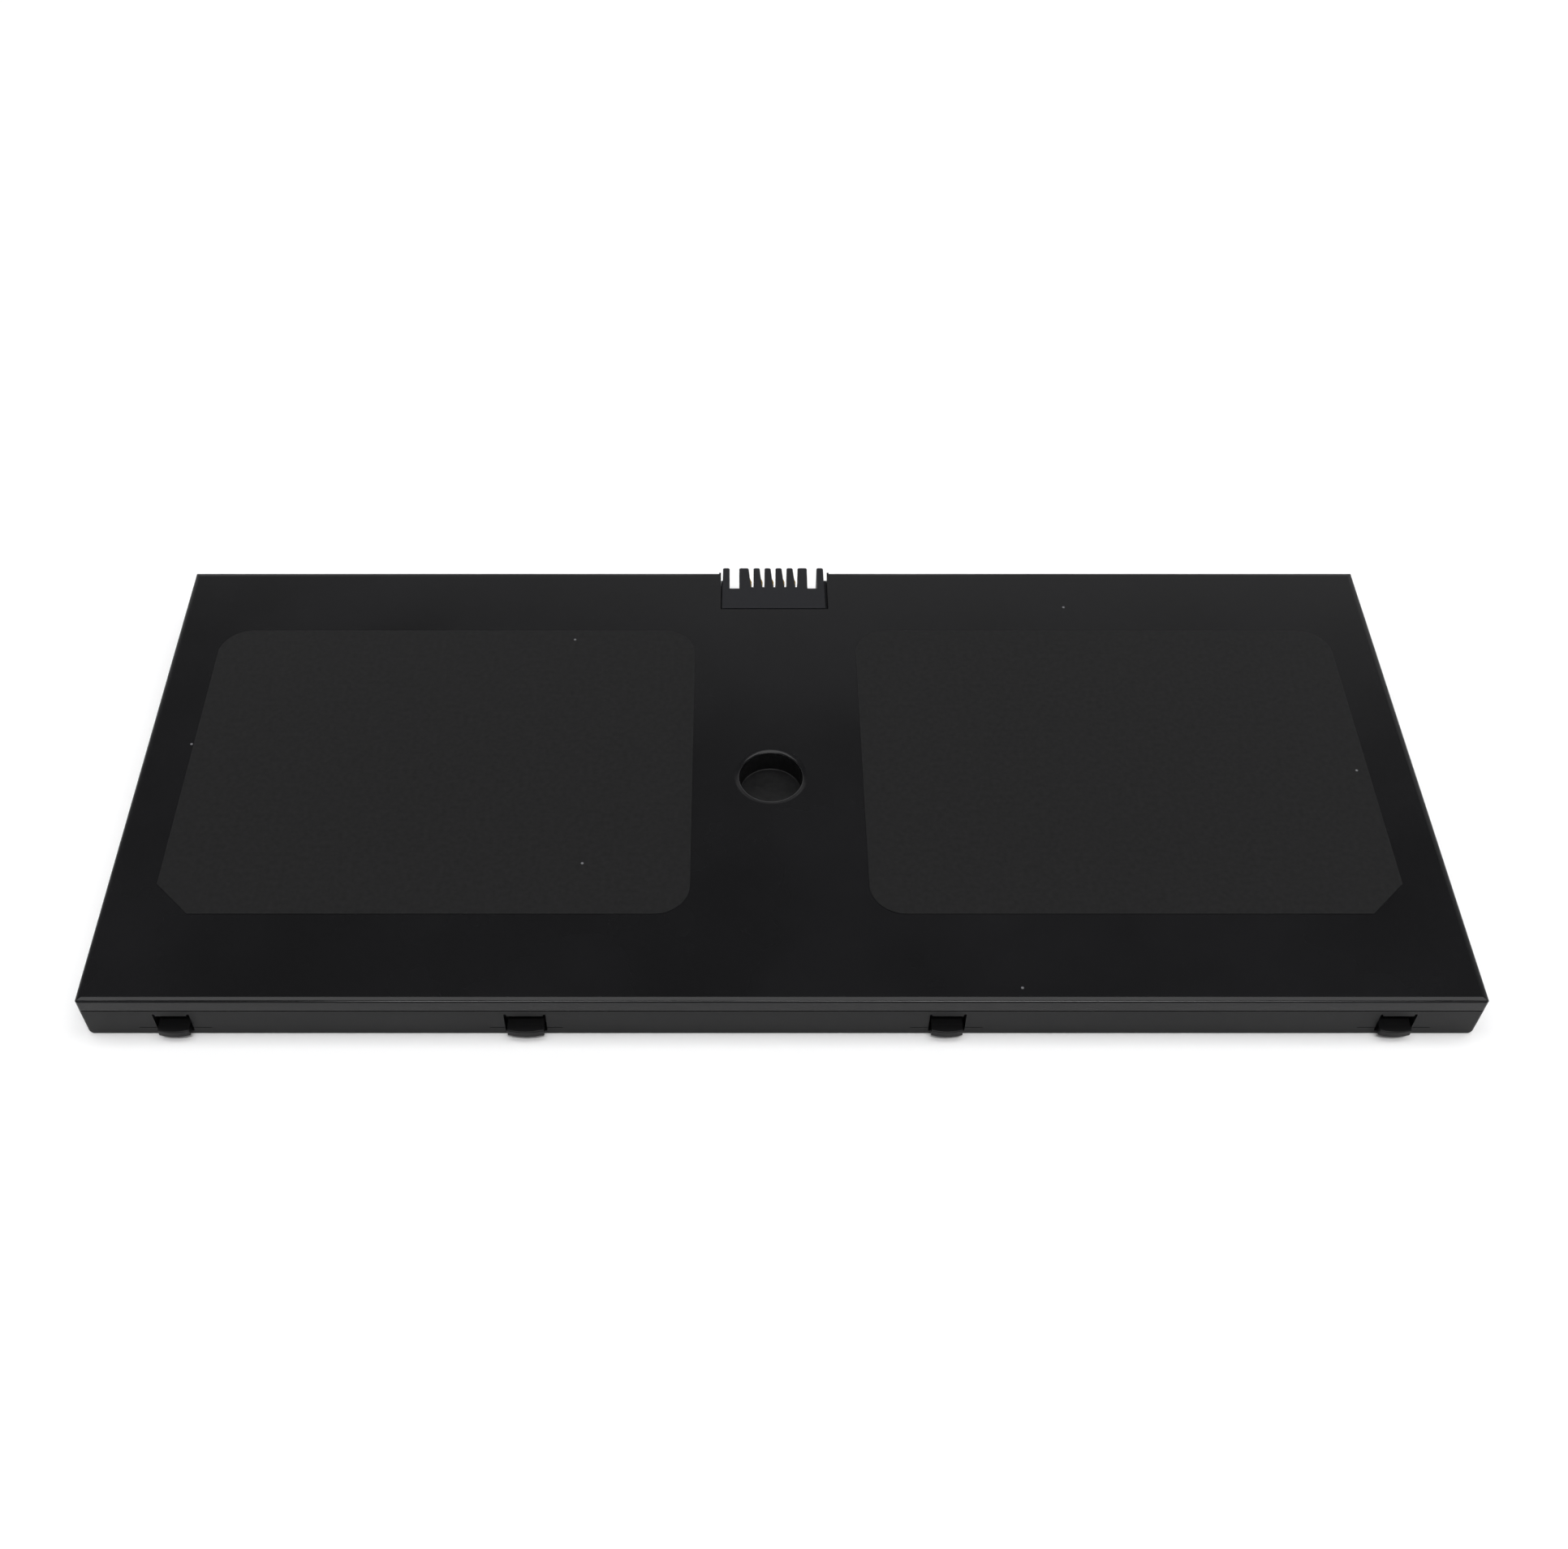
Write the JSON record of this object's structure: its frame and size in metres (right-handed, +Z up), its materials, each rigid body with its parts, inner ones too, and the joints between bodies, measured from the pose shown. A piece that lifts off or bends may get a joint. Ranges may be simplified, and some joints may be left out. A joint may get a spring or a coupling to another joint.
{
  "type": "laptop battery pack",
  "caption": "Flat black laptop battery pack: moulded cover and tray, comb connector in a notch at the back edge, hook tabs along the front edge and a round recess on top.",
  "frame": {"origin": "middle of the flat underside, between the case's outer walls", "axes": "+Z up through the cover, +Y towards the connector edge, +X along the long side"},
  "size_m": [0.21, 0.0957, 0.0088],
  "materials": {
    "case_plastic": "moulded black, polished with matt fields",
    "connector_plastic": "moulded black, satin",
    "contact_gold": "gold plated spring strip",
    "board_laminate": "green solder mask",
    "chip_resin": "moulded resin",
    "capacitor_body": "fired body with tinned ends",
    "nickel_strip": "rolled nickel",
    "plus_tab": "rolled foil",
    "pouch_foil": "laminated foil, satin",
    "amber_tape": "amber film",
    "wire_cover": "red insulation",
    "bead_resin": "dipped epoxy",
    "adhesive_tape": "white double-sided tape",
    "foam_pad": "closed-cell foam"
  },
  "bodies": {
    "root": {"adhesive_back_left": "adhesive_tape", "adhesive_back_right": "adhesive_tape", "adhesive_front_left": "adhesive_tape", "adhesive_front_right": "adhesive_tape", "bottom_tray": "case_plastic", "capacitors": "capacitor_body", "cell_back_left": "pouch_foil", "cell_back_right": "pouch_foil", "cell_front_left": "pouch_foil", "cell_front_right": "pouch_foil", "chip_fuse": "chip_resin", "circuit_board": "board_laminate", "connector_housing": "connector_plastic", "contact_1": "contact_gold", "contact_2": "contact_gold", "contact_3": "contact_gold", "contact_4": "contact_gold", "contact_5": "contact_gold", "foam_back_left": "foam_pad", "foam_back_right": "foam_pad", "foam_front_left": "foam_pad", "foam_front_right": "foam_pad", "front_link_tape": "amber_tape", "gauge_chip": "chip_resin", "link_front": "nickel_strip", "link_left": "nickel_strip", "link_right": "nickel_strip", "minus_tab_back_left": "nickel_strip", "minus_tab_back_right": "nickel_strip", "minus_tab_front_left": "nickel_strip", "minus_tab_front_right": "nickel_strip", "plus_tab_back_left": "plus_tab", "plus_tab_back_right": "plus_tab", "plus_tab_front_left": "plus_tab", "plus_tab_front_right": "plus_tab", "power_transistors": "chip_resin", "protector_chip": "chip_resin", "sense_resistor": "chip_resin", "sense_wire": "wire_cover", "thermistor": "bead_resin", "top_cover": "case_plastic"}
  },
  "joints": []
}
